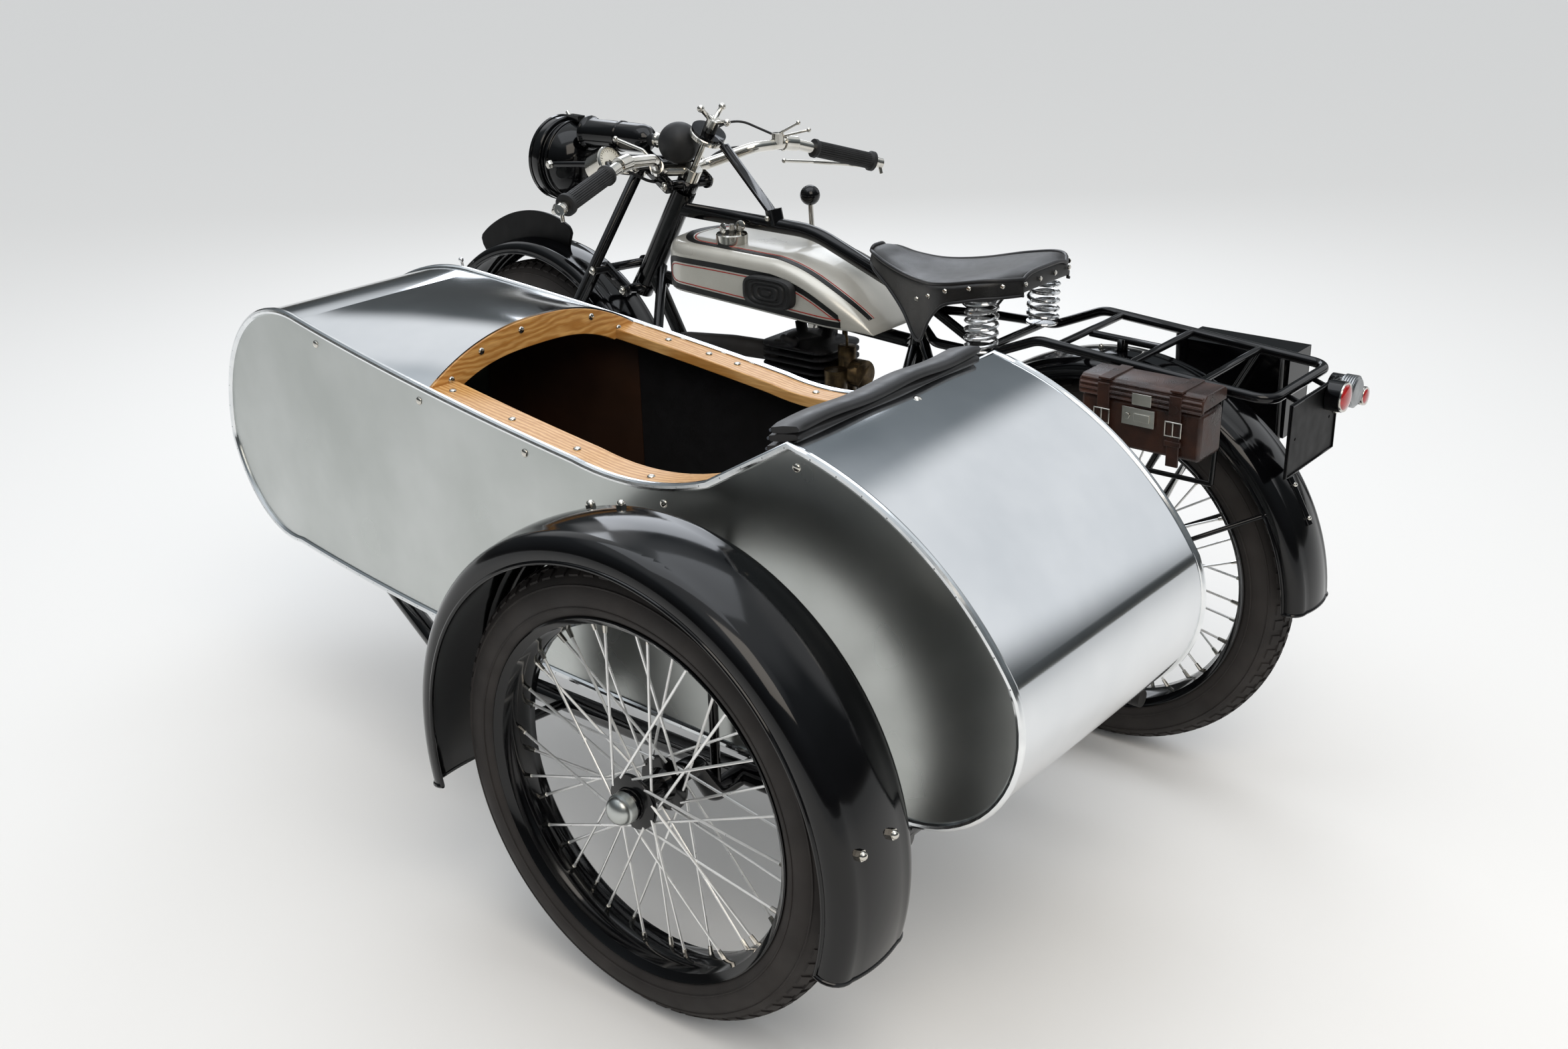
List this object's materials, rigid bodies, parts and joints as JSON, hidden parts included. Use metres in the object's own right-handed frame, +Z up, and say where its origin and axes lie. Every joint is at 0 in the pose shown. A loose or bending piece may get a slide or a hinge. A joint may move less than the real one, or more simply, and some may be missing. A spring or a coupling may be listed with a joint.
{
  "type": "sidecar motorcycle",
  "caption": "Vintage flat-tank motorcycle with girder forks and sprung saddle, joined to an open polished aluminium sidecar with a rounded nose and a wooden cockpit rim.",
  "frame": {"origin": "on the ground, under the middle of the whole outfit's bounding box", "axes": "+X forward, +Y left towards the sidecar, +Z up"},
  "size_m": [2.1316, 1.5176, 1.0325],
  "materials": {
    "ash_wood": "varnished",
    "black_enamel": "gloss enamel",
    "black_leather": "grained",
    "black_pipe": "matt heat-proof",
    "black_rubber": "moulded",
    "black_vinyl": "padded",
    "bronze": "dull",
    "brown_leather": "waxed",
    "brown_lining": "flat lining",
    "cast_iron": "blacked",
    "chain_steel": "oiled",
    "engine_alloy": "cast",
    "lamp_glass": "fluted",
    "nickel": "polished nickel plate",
    "plywood": "varnished, layered edge",
    "polished_aluminium": "polished",
    "tank_silver": "satin enamel with black bands and thin red lines",
    "tyre_rubber": "matt moulded",
    "wheel_enamel": "gloss enamel, bright spokes"
  },
  "bodies": {
    "frame": {"carburettor": "bronze", "carrier": "black_enamel", "cockpit_bow": "plywood", "cockpit_lining": "brown_lining", "cockpit_rails": "ash_wood", "cockpit_roll": "black_vinyl", "crankcase": "engine_alloy", "cylinder": "cast_iron", "damper_strut": "nickel", "drive_chain": "chain_steel", "exhaust": "black_pipe", "filler_cap": "nickel", "floor_board": "plywood", "footrests": "black_rubber", "frame_tubes": "black_enamel", "gear_lever": "nickel", "gearbox": "engine_alloy", "inner_side_panel": "polished_aluminium", "knee_pads": "black_rubber", "leather_case": "brown_leather", "magneto": "engine_alloy", "nose_and_belly": "polished_aluminium", "nose_deck": "polished_aluminium", "outer_side_panel": "polished_aluminium", "petrol_tank": "tank_silver", "primary_chaincase": "engine_alloy", "rear_guard": "black_enamel", "rear_plate": "black_enamel", "saddle": "black_leather", "saddle_springs": "nickel", "seat_back": "black_vinyl", "seat_cushion": "black_vinyl", "side_guard": "black_enamel", "sidecar_chassis": "black_enamel", "tail_lamp": "black_enamel", "tail_wrap": "polished_aluminium", "toolbox": "black_enamel"},
    "steering": {"forks": "black_enamel", "handlebar": "nickel", "grips": "black_rubber", "headlamp": "black_enamel", "headlamp_lens": "lamp_glass", "horn": "black_enamel", "horn_bulb": "black_rubber", "instrument": "nickel", "damper_knob": "nickel", "front_guard": "black_enamel"},
    "front_wheel": {"front_tyre": "tyre_rubber", "front_wheel": "wheel_enamel"},
    "rear_wheel": {"rear_tyre": "tyre_rubber", "rear_wheel": "wheel_enamel"},
    "side_wheel": {"side_tyre": "tyre_rubber", "side_wheel": "wheel_enamel"},
    "toolbox_door": {"toolbox_door": "black_enamel"}
  },
  "joints": [
    {"name": "steering", "type": "hinge", "parent": "frame", "child": "steering", "pos_m": [0.31724, -0.36119, 0.76514], "axis": [-0.5, 0, 0.866], "range_deg": [-24, 36]},
    {"name": "front_wheel_spin", "type": "hinge", "parent": "steering", "child": "front_wheel", "pos_m": [0.69041, -0.37228, 0.32985], "axis": [0.0905, 0.9945, 0.0523], "continuous": true},
    {"name": "rear_wheel_spin", "type": "hinge", "parent": "frame", "child": "rear_wheel", "pos_m": [-0.69408, -0.36119, 0.33014], "axis": [0, 1, 0], "continuous": true},
    {"name": "side_wheel_spin", "type": "hinge", "parent": "frame", "child": "side_wheel", "pos_m": [-0.57808, 0.67981, 0.33014], "axis": [0, 1, 0], "continuous": true},
    {"name": "toolbox_door_hinge", "type": "hinge", "parent": "frame", "child": "toolbox_door", "pos_m": [-0.83158, -0.57219, 0.56014], "axis": [1, 0, 0], "range_deg": [0, 95]}
  ]
}
